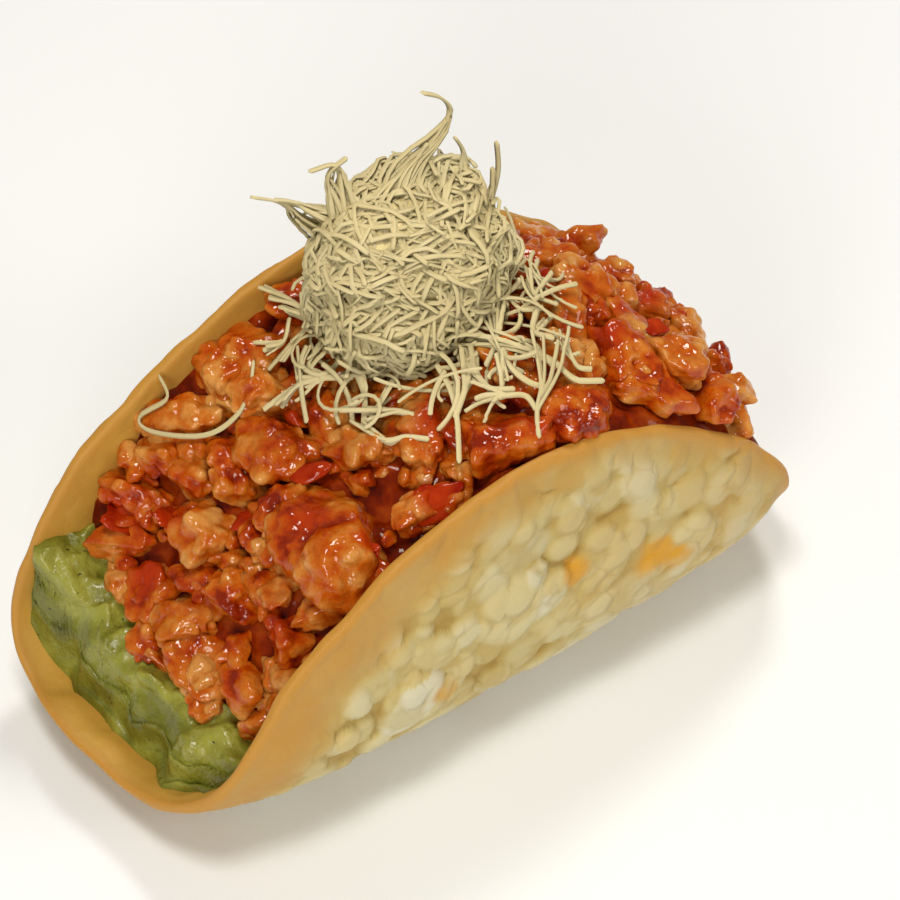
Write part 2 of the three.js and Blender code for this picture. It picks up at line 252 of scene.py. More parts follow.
def blisters(x, s, seed):
    """Height and tone of the fried blisters: at each point the tallest of many flat scales
    h (1 - q^4)^0.5, where q is the distance from a scale's middle over its radius, and that
    scale's own tone. The middles are a jittered grid over the unrolled sheet."""
    rng = np.random.default_rng(seed)
    columns = np.arange(-HALF_LENGTH, HALF_LENGTH, BLISTER_PITCH)
    rows = np.arange(-BACK_GIRTH, BACK_GIRTH, BLISTER_PITCH)
    cx, cs = (a.ravel() for a in np.meshgrid(columns, rows))
    cx = cx + rng.uniform(-0.5, 0.5, cx.size) * BLISTER_PITCH
    cs = cs + rng.uniform(-0.5, 0.5, cs.size) * BLISTER_PITCH
    radius = rng.uniform(2.0, 4.3, cx.size)
    height = rng.uniform(0.35, 0.95, cx.size)
    large = np.array(LARGE_BLISTERS).T
    cx = np.append(cx, large[0])
    cs = np.append(cs, large[1])
    radius = np.append(radius, large[2])
    height = np.append(height, np.full(large.shape[1], 1.0))
    stretch = rng.uniform(0.8, 1.25, cx.size)
    turn = rng.uniform(0, np.pi, cx.size)
    own = rng.random(cx.size)
    tall = np.zeros(x.shape)
    tone = np.full(x.shape, 0.5)
    for a, b, r, h, k, t, n in zip(cx, cs, radius, height, stretch, turn, own):
        dx, ds = x - a, s - b
        u = (dx * np.cos(t) + ds * np.sin(t)) * k
        v = (ds * np.cos(t) - dx * np.sin(t)) / k
        scale = h * np.sqrt(np.maximum(1 - ((u * u + v * v) / r**2) ** 2, 0))
        tone = np.where(scale > tall, n, tone)
        tall = np.maximum(tall, scale)
    return tall, tone


def sheet_points():
    """The sheet, as rings from the middle out over the outer face, round the edge and back
    over the inner face. A ring's point at an angle lies at HALF_LENGTH cos and girth sin of
    it, times the ring's share of the way out. The thickness ends in a half round,
    sqrt(1 - u^2). Returns the points and the marks that the material reads."""
    outward = np.linspace(0.004, 1, OUTER_RINGS) ** 0.8 * EDGE_START
    inward = np.linspace(1, 0.004, INNER_RINGS) ** 0.8 * EDGE_START
    shares = np.concatenate([outward, EDGE_SHARES, inward])
    face = np.sign(np.arange(len(shares)) - OUTER_RINGS - 2.0)
    angle = np.linspace(0, 2 * np.pi, SPOKES, endpoint=False)
    share, angle = np.meshgrid(shares, angle, indexing="ij")
    face = face[:, None] + 0 * share
    edge = np.stack([2.4 * np.cos(angle), 2.4 * np.sin(angle), 0 * angle], -1)
    wave = swell(edge, 5) + 0.5 * swell(edge * 2.3, 6) + 0.35 * swell(edge * 5.1, 7)
    reach = share * (1 + 0.016 * wave * share**4)
    girth = np.where(np.sin(angle) < 0, FRONT_GIRTH, BACK_GIRTH)
    x = HALF_LENGTH * reach * np.cos(angle)
    s = girth * reach * np.sin(angle)
    to_rim = (1 - share) * RIM_REACH
    rounding = ((share - EDGE_START) / (1 - EDGE_START)).clip(0, 1)
    half = SHEET / 2 * np.sqrt(1 - rounding**2)
    half = half * (1 - 0.35 * smooth(share, 0.90, 0.98))
    place = np.stack([x / 9, s / 9, 0 * x], -1)
    buckle = 0.5 * swell(place, 11) + 0.25 * swell(place * 2.1, 12)
    foot = smooth(np.where(s < 0, -s - FRONT_FLAT, s - BACK_FLAT), 2, 10)
    reached = to_rim + 1.6 * swell(place * 1.6, 13)
    width = 9.5 - 6.7 * smooth(x, -24, 10)
    lip = 1 - 0.9 * smooth(np.abs(x), 38, 46)
    tall, tone = blisters(x, s, 21)
    bubble = tall * (0.35 + 0.65 * smooth(reached - width, -3.0, 2.5)) * lip * (face < 0)
    outer = half + foot * (BLISTER_DEPTH * bubble + buckle * 0.6)
    inner = half + (0.35 * buckle + 0.45 * tall * smooth(-x, 38, 46)) * smooth(to_rim, 0, 6)
    points = fold_point(x, s, np.where(face < 0, -outer, inner))
    spots = [np.exp(-(((x - a) ** 2 + (s - b) ** 2) / r**2) ** 1.5) for a, b, r in SCORCHES]
    scorch = smooth(np.max(spots, 0) * (face < 0) + 0.35 * swell(place * 4, 14), 0.35, 1.15)
    band = 1 - smooth(reached - width * np.where(face < 0, 1, 0.2), -4.0, 3.5)
    band = np.maximum(band, 0.28 * smooth(x, 0, 30) * (face < 0))
    band = np.maximum(band, 0.8 * (1 - lip) * (face < 0)) * np.where(face < 0, 1, 0.6)
    return points, {"blister": np.where(face < 0, bubble, 0.12 * tall), "tone": tone, "band": band,
                    "scorch": scorch, "inside": (face > 0) + 0 * x, "deep": smooth(to_rim, 3, 17),
                    "edge": 1 - smooth(to_rim, 0.3, 1.8 + 0.8 * buckle)}


def tortilla_material():
    """Cream scales with olive-tan creases, darker partly in the sheet's own colour and partly as
    painted shade, and thin dark lines between the scales that are painted crease shadow. An
    orange-tan band runs along the rim and there are a few scorched spots. The inner face is
    tan, and deeper down it turns darker and more orange."""
    material, tree, shader = new_material("tortilla")
    clouds = grain(tree, 70, 4)
    fine = grain(tree, 520, 3)
    # Partly painted shade: low blister height turns the creases olive-tan, and high turns the scale tops
    # cream.
    scales = ramp(tree, mark(tree, "blister"), (0.0, (0.43, 0.30, 0.085)),
                  (0.35, (0.52, 0.42, 0.165)), (0.75, (0.60, 0.53, 0.29)))
    tones = ramp(tree, mark(tree, "tone"), (0.0, (0.93, 0.85, 0.68)), (0.5, (1.0, 1.0, 1.0)),
                 (1.0, (1.02, 1.09, 1.42)))
    skin = mixed(tree, 1.0, scales, tones, "MULTIPLY")
    plates = node(tree, "ShaderNodeTexVoronoi", Scale=250)
    tree.links.new(warped(tree, 160, 0.004), plates.inputs["Vector"])
    away = plates.outputs["Distance"]
    # Painted shade: darker lines along the Voronoi cell edges stand in for crease shadows between the
    # scales.
    painted_crease_shade = ramp(tree, away, (0.50, (1.0, 1.0, 1.0)), (0.72, (0.86, 0.78, 0.56)))
    skin = mixed(tree, 0.8, skin, painted_crease_shade, "MULTIPLY")
    dome = node(tree, "ShaderNodeMath", operation="MULTIPLY")
    tree.links.new(ramp(tree, away, (0.1, (1, 1, 1)), (0.5, (0.7, 0.7, 0.7)), (0.75, (0, 0, 0))),
                   dome.inputs[0])
    tree.links.new(mark(tree, "blister"), dome.inputs[1])
    # The inner face: tan near the rim, darker and more orange further from it.
    inner_tan_by_depth = ramp(tree, mark(tree, "deep"), (0.0, (0.59, 0.34, 0.058)), (1.0, (0.57, 0.25, 0.024)))
    inner_face = mixed(tree, mark(tree, "inside"), skin, inner_tan_by_depth)
    mottled = ramp(tree, clouds, (0.3, (0.92, 0.86, 0.74)), (0.65, (1.0, 1.0, 1.0)))
    shaded = mixed(tree, 1.0, inner_face, mottled, "MULTIPLY")
    toast = ramp(tree, clouds, (0.35, (0.48, 0.25, 0.045)), (0.7, (0.49, 0.325, 0.095)))
    toasted = mixed(tree, mark(tree, "band"), shaded, toast)
    edged = mixed(tree, mark(tree, "edge"), toasted, (0.50, 0.25, 0.04))
    spotted = mixed(tree, mark(tree, "scorch"), edged, (0.60, 0.30, 0.020))
    tree.links.new(spotted, shader.inputs["Base Color"])
    shader.inputs["Roughness"].default_value = 0.5
    shader.inputs["Specular IOR Level"].default_value = 0.3
    shader.inputs["Subsurface Weight"].default_value = 0.2
    shader.inputs["Subsurface Radius"].default_value = (0.003, 0.002, 0.001)
    shader.inputs["Subsurface Scale"].default_value = 0.6
    bumped(tree, shader, fine, 0.00012, before=bumped(tree, shader, dome.outputs[0], 0.0006))
    return material


sheet_grid, sheet_marks = sheet_points()
sheet_faces = grid_faces(len(sheet_grid), SPOKES, True).tolist()
last = (len(sheet_grid) - 1) * SPOKES
sheet_faces.append(list(range(SPOKES))[::-1])
sheet_faces.append(list(range(last, last + SPOKES)))
piece_of("tortilla_sheet", sheet_grid.reshape(-1, 3), sheet_faces, "tortilla", "tortilla",
         tortilla_material(), sheet_marks)

# ---- Guacamole ------------------------------------------------------------------------------
# Avocado mashed with a fork and spread along the fold before the chicken went in. It shows at
# the near end as a steep lumpy face with torn ridges, wet, with small dark specks.

POCKET_FRONT = FOLD_Y - FRONT_FLAT - FRONT_BEND
POCKET_BACK = FOLD_Y + BACK_FLAT + BACK_BEND
POCKET_MIDDLE = (POCKET_FRONT + POCKET_BACK) / 2
POCKET_HALF_WIDTH = (POCKET_BACK - POCKET_FRONT) / 2


def across_share(y):
    """Place across the pocket: -1 at the front wall and 1 at the back wall."""
    return np.clip((y - POCKET_MIDDLE) / POCKET_HALF_WIDTH, -1, 1)


def wall_floor(x, y, margin):
    """Height of the sheet's inner face under (x, y): the flat strip, then the arc
    R - sqrt(R^2 - d^2) on each side, over the lift of the fold line."""
    offset = SHEET / 2 + margin
    front = y < FOLD_Y
    flat = np.where(front, FRONT_FLAT, BACK_FLAT)
    bend = np.where(front, FRONT_BEND, BACK_BEND)
    d = np.clip(np.abs(y - FOLD_Y) - flat, 0, bend - offset - 1e-6)
    lift = END_RISE * (np.maximum(np.abs(x) - RISE_START, 0) / (HALF_LENGTH - RISE_START)) ** 2.5
    return bend - np.sqrt((bend - offset) ** 2 - d**2) + lift + SHEET / 2


def sheet_reach(y):
    """How far the sheet reaches along the fold under y: HALF_LENGTH sqrt(1 - (s / girth)^2),
    where s is the run round the wall to y."""
    front = y < FOLD_Y
    flat = np.where(front, FRONT_FLAT, BACK_FLAT)
    bend = np.where(front, FRONT_BEND, BACK_BEND)
    girth = np.where(front, FRONT_GIRTH, BACK_GIRTH)
    d = np.abs(y - FOLD_Y)
    run = np.minimum(d, flat) + bend * np.arcsin(np.clip((d - flat) / (bend - SHEET / 2), 0, 1))
    return HALF_LENGTH * np.sqrt(1 - (run / girth) ** 2)


def guacamole_points(rows, columns):
    """A height field over the pocket's floor: a slab about 18 mm high that climbs the back
    wall and ends at the near end in a steep face, roughened by swells and by ridges
    1 - |noise|. Where it is thin it sinks into the sheet. Rows crowd towards the near end.
    The last grid is near 1 on the flat top and near 0 down the steep face, plus half the
    ridges; the guacamole colour uses it as painted light."""
    t = np.linspace(0, 1, rows)[:, None]
    v = np.sin(np.linspace(-np.pi / 2, np.pi / 2, columns))
    y = POCKET_MIDDLE + (POCKET_HALF_WIDTH - SHEET / 2 + 0.3) * v + 0 * t
    near = 2.5 - sheet_reach(y)
    x = near + (43.0 - near) * t**2.2
    under = wall_floor(x, y, -0.7)
    across = across_share(y)
    place = np.stack([x, y, 0 * x], -1)
    lump = swell(place / 5, 31) + 0.5 * swell(place / 2.4, 32)
    ridge = 1 - 2 * np.abs(swell(place @ [[0.22, 0, 0], [0.10, 0.30, 0], [0, 0, 1]], 33))
    back = np.maximum(across, 0) ** 3
    foot = -47.6 - 1.5 * back + 1.4 * swell(place / [99, 5, 9], 34) * (1 - back)
    foot = np.maximum(foot, near + 1.0 - 0.9 * back)
    face = smooth(x - foot + 0.7 * lump * (1 - 0.7 * back), 0, 4.2 - 2.4 * back)
    slant = np.where(across < 0, 2.5 * across, 8.5 * across**2)
    crown = 17.6 + slant + 0.7 * lump + 1.2 * ridge
    crown = crown - 2.2 * smooth(-x, 41, 47) * (1 - back)
    terrace = 1.2 * np.sin(crown * face * 0.9 + 2 * lump) * face * (1 - face) * 4
    top = under + (crown - under) * face**0.85 + terrace + 0.35 * swell(place / 1.1, 35) * face
    slump = 1.1 * swell(np.stack([x / 9, y / 4, top / 2.6], -1), 36) * face * smooth(-x, 40, 44)
    upper = np.stack([x - slump, y, np.maximum(top, under)], -1)
    lower = np.stack([x, y, under - 0.3], -1)
    return upper, lower, smooth(face, 0.55, 1.0) + 0.5 * ridge


def weighed(tree, value, weight, rest):
    """The number value * weight + rest, where value and rest are sockets."""
    made = node(tree, "ShaderNodeMath", operation="MULTIPLY_ADD")
    tree.links.new(value, made.inputs[0])
    made.inputs[1].default_value = weight
    tree.links.new(rest, made.inputs[2])
    return made.outputs[0]


def guacamole_material():
    """Mashed avocado with fine dark specks, wet. Painted light: yellow-green on the flat top and
    the ridges, where they face the light, and darker down the steep face and in the hollows
    as painted shade."""
    material, tree, shader = new_material("guacamole")
    # Painted light: this mark lightens the flat top and the ridges and leaves the steep face and hollows
    # darker.
    level = weighed(tree, mark(tree, "ledge"), 0.14, grain(tree, 150, 4))
    green = ramp(tree, level, (0.36, (0.105, 0.105, 0.008)), (0.56, (0.175, 0.178, 0.016)),
                 (0.76, (0.31, 0.31, 0.045)))
    specks = ramp(tree, grain(tree, 1000, 1), (0.22, (0.12, 0.13, 0.04)), (0.26, (1, 1, 1)))
    tree.links.new(mixed(tree, 1.0, green, specks, "MULTIPLY"), shader.inputs["Base Color"])
    shader.inputs["Roughness"].default_value = 0.32
    shader.inputs["Specular IOR Level"].default_value = 0.35
    shader.inputs["Subsurface Weight"].default_value = 0.25
    shader.inputs["Subsurface Radius"].default_value = (0.003, 0.003, 0.001)
    shader.inputs["Subsurface Scale"].default_value = 0.6
    shader.inputs["Coat Weight"].default_value = 0.3
    shader.inputs["Coat Roughness"].default_value = 0.08
    bumped(tree, shader, grain(tree, 500, 3, 0.5), 0.0007)
    return material


def slab_of(upper, lower):
    """The points and faces of a slab between two height grids of the same plan: the top, the
    bottom and the wall that joins their edges."""
    rows, columns = upper.shape[:2]
    count = rows * columns
    number = np.arange(count).reshape(rows, columns)
    loop = np.concatenate([number[:-1, 0], number[-1, :-1], number[:0:-1, -1], number[0, :0:-1]])
    after = np.roll(loop, -1)
    wall = np.stack([loop, after, after + count, loop + count], -1)
    top = grid_faces(rows, columns, False)
    faces = np.concatenate([top[:, ::-1], top + count, wall])
    return np.concatenate([upper.reshape(-1, 3), lower.reshape(-1, 3)]), faces


GUACAMOLE_ROWS = 200
GUACAMOLE_COLUMNS = 120
upper, lower, ledge = guacamole_points(GUACAMOLE_ROWS, GUACAMOLE_COLUMNS)
piece_of("guacamole_layer", *slab_of(upper, lower), "guacamole", "guacamole",
         guacamole_material(), {"ledge": np.concatenate([ledge, ledge])})

# ---- Chilli sauce ---------------------------------------------------------------------------
# The dark red sauce that the chicken was cooked in. It fills the heap and shows only in the
# hollows between the pieces, so it is the heap's shape sunk a little, wet and shiny.

HEAP_FOOT = 13.2
HEAP_RISE = 39.0
CREST_X = 14.0
NEAR_RUN = 56.0
FAR_RUN = 38.0
SAUCE_DEPTH = 2.6
SAUCE_ROWS = 140
SAUCE_COLUMNS = 80


def rim_height(x, girth):
    """Height of a rim at x, where the girth's share is sqrt(1 - (x / HALF_LENGTH)^2)."""
    share = np.sqrt(np.clip(1 - (x / HALF_LENGTH) ** 2, 0, 1))
    return fold_point(x, girth * share)[..., 2]


def heap_top(x, y):
    """Height of the heap: a lopsided bell along the crest, foot + rise (1 - u^p)^0.8, running
    by the 2.2 power of the way across to where it meets each wall."""
    near = x < CREST_X
    u = np.clip(np.where(near, (CREST_X - x) / NEAR_RUN, (x - CREST_X) / FAR_RUN), 0, 1)
    crown = HEAP_FOOT + HEAP_RISE * (1 - u ** np.where(near, 2.2, 2.6)) ** 0.8
    share = across_share(y)
    front = np.minimum(crown - 4.5, rim_height(x, -FRONT_GIRTH) + 0.5)
    back = np.minimum(crown + 8.5, rim_height(x, BACK_GIRTH) - 1.5 - 3.0 * smooth(x, 4, 14))
    at_wall = np.where(share < 0, front, back)
    return crown + (at_wall - crown) * np.abs(share) ** 2.2


def sauce_points(rows, columns):
    """The heap's height, sunk by SAUCE_DEPTH and roughened, over the pocket between the
    walls. Past both ends of the heap it sinks into the sheet."""
    x = np.linspace(-40, 45, rows)[:, None] + np.zeros(columns)
    v = np.sin(np.linspace(-np.pi / 2, np.pi / 2, columns))
    y = POCKET_MIDDLE + (POCKET_HALF_WIDTH - SHEET / 2 + 0.2) * v + 0 * x
    under = wall_floor(x, y, -0.7)
    place = np.stack([x, y, 0 * x], -1)
    lump = 1.1 * swell(place / 3.4, 41) + 0.6 * swell(place / 1.8, 42)
    ends = smooth(x, -40, -37) * smooth(-x, -45, -41)
    top = under + (heap_top(x, y) - SAUCE_DEPTH + lump - under) * ends
    return np.stack([x, y, np.maximum(top, under)], -1), np.stack([x, y, under - 0.3], -1)


def sauce_material():
    """Chilli sauce: deep red-brown with orange oil, very wet."""
    material, tree, shader = new_material("chilli_sauce")
    red = ramp(tree, grain(tree, 200, 3), (0.38, (0.09, 0.006, 0.001)), (0.52, (0.21, 0.018, 0.001)),
               (0.66, (0.34, 0.050, 0.003)))
    tree.links.new(red, shader.inputs["Base Color"])
    shader.inputs["Roughness"].default_value = 0.4
    shader.inputs["Specular IOR Level"].default_value = 0.0
    shader.inputs["Coat Weight"].default_value = 0.3
    shader.inputs["Coat Roughness"].default_value = 0.06
    bumped(tree, shader, grain(tree, 400, 2), 0.0006)
    return material


piece_of("chilli_sauce", *slab_of(*sauce_points(SAUCE_ROWS, SAUCE_COLUMNS)), "chicken",
         "chicken_filling", sauce_material())

# ---- Chicken --------------------------------------------------------------------------------
# Chicken breast chopped small and fried, then stirred in the sauce. The pieces are chunky,
# with rounded cut corners and a stringy grain, and they were spooned into the fold in a heap.

# Where the sauce left bright red patches: place along, across and up the taco, and radius.
STAINS = np.array([
    [-36.5, 17.0, 31.0, 3.0], [-32.5, 11.2, 34.0, 3.0], [-37.5, 9.5, 26.5, 3.2],
    [-19.0, -16.5, 43.5, 2.2], [-10.0, -17.5, 46.5, 3.0], [-36.0, 1.0, 29.0, 2.6],
    [-4.5, -10.5, 51.5, 3.4], [4.5, -18.0, 51.0, 3.0], [23.5, -11.0, 53.0, 2.8],
    [29.0, -7.5, 51.5, 2.6], [-15.5, 5.5, 46.5, 2.4], [-23.0, -8.0, 43.0, 2.4],
    [-31.5, -12.5, 32.0, 2.4], [21.0, 2.0, 54.0, 2.6], [35.5, -4.0, 46.0, 2.4],
])


def chunks(places, sizes, spins, seed, rows, columns):
    """Many chopped pieces as one grid each, rows by columns. A piece is a ball whose radius
    is the soft smallest of ten random cut planes, c / (n . d), dented by three smooth bites,
    then swollen by lattice noise, by round knobs |noise| with creases between them and by
    stringy ridges along its length, stretched to its size, turned and put in its place.
    Returns all points and faces, with each point's marks."""
    rng = np.random.default_rng(seed)
    count = len(places)
    polar = np.linspace(0, np.pi, rows)[:, None]
    turn = np.linspace(0, 2 * np.pi, columns, endpoint=False)[None, :]
    ball = np.stack([np.sin(polar) * np.cos(turn), np.sin(polar) * np.sin(turn),
                     np.cos(polar) + 0 * turn], -1)[..., [2, 0, 1]].reshape(-1, 3)
    ways = rng.normal(size=(count, 13, 3))
    ways /= np.linalg.norm(ways, axis=-1, keepdims=True)
    toward = np.einsum("kpc,nc->kpn", ways, ball)
    cut = rng.uniform(0.52, 0.95, (count, 10, 1))
    crowd = (np.maximum(toward[:, :10], 0) / cut) ** 22
    radius = (1 + crowd.sum(1)) ** (-1 / 22)
    depth = rng.uniform(0.05, 0.26, (count, 3, 1))
    bite = (depth * np.exp((toward[:, 10:] - 1) / 0.06)).sum(1)
    body = ball[None] * (radius - bite)[..., None] * sizes[:, None, :] * 1.22
    own = rng.uniform(-50, 50, (count, 1, 3))
    wide = sizes.mean(1)[:, None, None]
    lump = 0.13 * swell(body / wide * 1.8 + own, seed + 1)
    knob = np.abs(swell(body / 2.6 + own, seed + 2)) + 0.5 * np.abs(swell(body / 1.4 + own, seed + 3))
    knob = 0.42 * (knob - 0.42)
    fibre = body * np.array([0.3, 1.0, 1.0]) + own
    string = 1 - np.abs(swell(fibre, seed + 4)) * 2
    fine = (knob + 0.05 * string) * np.clip(2.6 / wide[..., 0], 0.3, 1.0)
    body = body * (1 + lump + fine)[..., None]
    points = np.einsum("kij,knj->kni", spins, body) + places[:, None, :]
    # bulge is high on knobs and low in dents and creases; the chicken colour reads it partly as sauce left
    # in the hollows and partly as painted shade.
    bulge = 0.5 + 1.2 * lump + 1.8 * knob - 1.2 * bite
    number = np.arange(count)[:, None, None] * rows * columns
    faces = (grid_faces(rows, columns, True)[None, :, ::-1] + number).reshape(-1, 4)
    tint = np.broadcast_to(rng.random((count, 1)), bulge.shape)
    stains = [np.exp(-(((points - c[:3]) / c[3]) ** 2).sum(-1) ** 1.5) for c in STAINS]
    marks = {"bulge": bulge, "tint": tint, "stain": np.max(stains, 0)}
    return points.reshape(-1, 3), faces, marks


def spins_of(yaw, pitch, roll):
    """Rotation matrices that roll about X, pitch about Y and then yaw about Z."""
    cz, sz, cy, sy = np.cos(yaw), np.sin(yaw), np.cos(pitch), np.sin(pitch)
    cx, sx, one, zero = np.cos(roll), np.sin(roll), np.ones_like(yaw), np.zeros_like(yaw)
    about_z = np.array([[cz, -sz, zero], [sz, cz, zero], [zero, zero, one]])
    about_y = np.array([[cy, zero, sy], [zero, one, zero], [-sy, zero, cy]])
    about_x = np.array([[one, zero, zero], [zero, cx, -sx], [zero, sx, cx]])
    return np.einsum("abk,bck,cdk->kad", about_z, about_y, about_x)


def chicken_material():
    """Cooked chicken stained by the sauce, wet all over, with a ripple of its own on the wet
    coat. Its colour follows each piece's relief: peach on the knobs, where the sauce ran off,
    and orange to dark red in the dents and creases, partly sauce that stayed there and partly
    painted shade."""
    material, tree, shader = new_material("chicken")
    # Partly painted shade: low bulge gives dark red in dents and creases, and high bulge gives peach on the
    # knobs.
    level = weighed(tree, mark(tree, "bulge"), 0.30, grain(tree, 210, 4, 0.6))
    tinted = weighed(tree, mark(tree, "tint"), 0.20, level)
    meat = ramp(tree, tinted, (0.54, (0.22, 0.014, 0.001)), (0.64, (0.39, 0.044, 0.001)),
                (0.72, (0.46, 0.085, 0.003)), (0.82, (0.51, 0.140, 0.013)), (0.95, (0.61, 0.27, 0.060)))
    stained = mixed(tree, mark(tree, "stain"), meat, (0.41, 0.028, 0.001))
    tree.links.new(stained, shader.inputs["Base Color"])
    shader.inputs["Roughness"].default_value = 0.45
    shader.inputs["Specular IOR Level"].default_value = 0.0
    shader.inputs["Subsurface Weight"].default_value = 0.15
    shader.inputs["Subsurface Radius"].default_value = (0.003, 0.0015, 0.0006)
    shader.inputs["Subsurface Scale"].default_value = 0.5
    shader.inputs["Coat Weight"].default_value = 0.7
    shader.inputs["Coat Roughness"].default_value = 0.05
    bumped(tree, shader, grain(tree, 520, 2, 0.5), 0.0007)
    place = node(tree, "ShaderNodeTexCoord")
    swells = node(tree, "ShaderNodeTexNoise", Scale=500, Detail=2, Roughness=0.5)
    ripple = node(tree, "ShaderNodeBump", Distance=0.0004)
    tree.links.new(place.outputs["Object"], swells.inputs["Vector"])
    tree.links.new(swells.outputs["Fac"], ripple.inputs["Height"])
    tree.links.new(ripple.outputs["Normal"], shader.inputs["Coat Normal"])
    return material


# The pieces that show: place along and across the taco, half length, half width, and turn in
# degrees.
CHOSEN = np.array([
    [-14.5, 17.5, 6.0, 5.0, -16], [-18.4, 18.5, 3.6, 3.4, 24], [-15.4, 12.4, 4.4, 4.2, 24],
    [-25.0, 18.2, 5.2, 2.9, -46], [-31.6, 19.5, 2.6, 2.0, 60], [-29.0, 17.3, 3.2, 2.9, -96],
    [-34.5, 19.8, 2.4, 2.2, 0], [-33.2, 16.8, 4.2, 3.0, -66], [-36.3, 15.0, 5.4, 2.7, -46],
    [-29.6, 5.2, 4.5, 3.9, -56], [-24.5, 5.7, 3.2, 2.6, -46], [-27.9, 12.1, 3.2, 2.8, -96],
    [-23.2, 10.1, 3.6, 2.1, 54], [-18.5, 4.9, 5.0, 4.6, -81], [-12.9, 2.6, 5.0, 2.5, -106],
    [-11.6, -3.5, 5.6, 3.4, -66], [-22.3, -3.0, 4.2, 3.5, -6], [-20.3, -11.5, 8.2, 7.4, -81],
    [-26.3, -0.8, 2.8, 1.9, 24], [-28.0, -9.0, 3.6, 2.2, 39], [-31.6, -4.2, 4.0, 3.6, -96],
    [-36.8, 8.6, 3.8, 3.2, 24], [-36.2, 2.2, 5.6, 4.0, -106], [-38.0, -3.4, 5.2, 4.4, -96],
    [-34.8, -8.4, 3.4, 1.7, 24], [-30.3, -14.6, 3.5, 3.0, -86], [-26.4, -15.8, 3.6, 1.9, -26],
    [-36.0, -12.3, 4.5, 3.2, -96], [-39.6, 5.2, 3.3, 2.6, 54], [-39.0, 14.0, 3.4, 2.6, 54],
    [-39.6, -8.0, 2.6, 2.1, 0], [-4.6, -8.0, 5.4, 4.0, 54], [-4.2, -3.0, 3.8, 3.0, -6],
    [-2.2, -13.2, 3.6, 2.8, -96], [-10.4, -16.8, 5.0, 2.2, 0], [1.5, -15.3, 6.4, 5.4, -36],
    [12.3, -18.2, 5.0, 4.3, 34], [15.4, -10.4, 3.8, 3.0, -96], [20.3, -4.6, 5.2, 2.7, -111],
    [20.0, 2.5, 3.8, 2.8, -66], [23.2, -13.3, 7.3, 3.9, -96], [30.3, -13.6, 5.4, 4.3, -96],
    [24.6, -19.9, 5.0, 3.4, -26], [33.2, -19.6, 4.8, 2.9, -76], [27.5, -0.4, 4.6, 2.8, -66],
    [28.2, -7.8, 3.6, 2.7, -96], [35.3, 3.8, 3.2, 2.6, -106], [26.0, 5.8, 3.6, 2.3, -36],
    [29.3, 14.5, 4.6, 3.0, -76], [35.6, -4.1, 3.4, 2.1, -36], [38.2, -7.2, 3.4, 2.6, -76],
    [40.3, -11.7, 3.2, 2.0, -66], [39.0, -16.5, 3.6, 2.6, -60], [20.5, 11.5, 4.6, 3.6, 20],
    [10.5, 3.0, 5.2, 4.4, 0], [8.0, 14.0, 5.0, 4.0, 40], [-4.0, 8.5, 5.0, 4.2, 10],
    [-4.5, 17.0, 5.0, 4.0, -20], [8.5, -8.0, 5.0, 4.0, 70], [35.5, 12.0, 3.8, 2.8, 0],
    [42.0, 1.0, 3.2, 2.4, 30],
])
SMALL_CHUNK = 3.3


def chosen_pieces(rng, kept):
    """Place, size and turn of the kept chosen pieces: a piece is 0.85 as high as it is wide,
    its middle lies under the heap's skin, and it stays between the walls."""
    x, y, length, width, turn = CHOSEN[kept].T
    tall = width * 0.85
    wall = SHEET / 2 + 1.1 * width
    y = np.clip(y, POCKET_FRONT + wall, POCKET_BACK - wall)
    z = heap_top(x, y) - 0.4 * tall
    tilt = rng.normal(0, 0.22, (2, len(x)))
    return np.stack([x, y, z], -1), np.stack([length, width, tall], -1), spins_of(np.radians(turn), *tilt)


def small_pieces(rng, count, low, high, sink):
    """Pieces scattered over the heap's skin with even chance, turned at random, kept between
    the walls. sink is how deep their middles lie, in half sizes."""
    x = rng.uniform(-40, 44, count)
    y = POCKET_MIDDLE + rng.uniform(-1, 1, count) * (POCKET_HALF_WIDTH - SHEET / 2 - high)
    size = rng.uniform(low, high, count)
    sizes = np.stack([size * rng.uniform(1.0, 1.4, count), size, size * 0.85], -1)
    z = heap_top(x, y) - sink * size - rng.uniform(0.3, 1.8, count)
    spins = spins_of(rng.uniform(0, 6.28, count), rng.normal(0, 0.4, count), rng.normal(0, 0.6, count))
    return np.stack([x, y, z], -1), sizes, spins


meat_rng = np.random.default_rng(51)
chicken_skin = chicken_material()
is_large = CHOSEN[:, 3] > SMALL_CHUNK

# Each kind's title, pieces, seed, and rows and columns of its grids.
for title, batch, seed, rows, columns in (
    ("chicken_chunks", chosen_pieces(meat_rng, is_large), 60, 52, 72),
    ("chicken_pieces", chosen_pieces(meat_rng, ~is_large), 70, 36, 50),
    ("chicken_small_pieces", small_pieces(meat_rng, 150, 1.6, 3.0, 0.6), 80, 18, 24),
    ("chicken_crumbs", small_pieces(meat_rng, 180, 0.7, 1.5, 0.2), 90, 11, 14),
):
    points, faces, marks = chunks(*batch, seed, rows, columns)
    piece_of(title, points, faces, "chicken", "chicken_filling", chicken_skin, marks)

# ---- Chilli flakes --------------------------------------------------------------------------
# Scraps of red chilli skin from the sauce, three to six millimetres long, thin, bright red
# and shiny, stuck flat on the chicken where they fell.

# Place along, across and up the taco, half length and turn in degrees.
FLAKES = np.array([
    [-36.8, 17.2, 30.4, 2.6, 60], [-32.3, 11.0, 32.9, 2.2, 20], [-26.6, 1.2, 36.8, 1.8, -20],
    [-18.4, -2.4, 43.8, 2.2, -36], [-19.8, -16.8, 42.0, 1.7, -60], [-10.4, -18.0, 45.4, 3.2, 5],
    [4.0, -18.8, 50.2, 2.0, 10], [20.6, 1.4, 53.6, 1.8, -70], [30.8, -11.5, 49.0, 1.5, 0],
    [37.8, -6.8, 42.8, 1.4, -40], [-5.2, -11.6, 49.6, 1.7, 30],
])


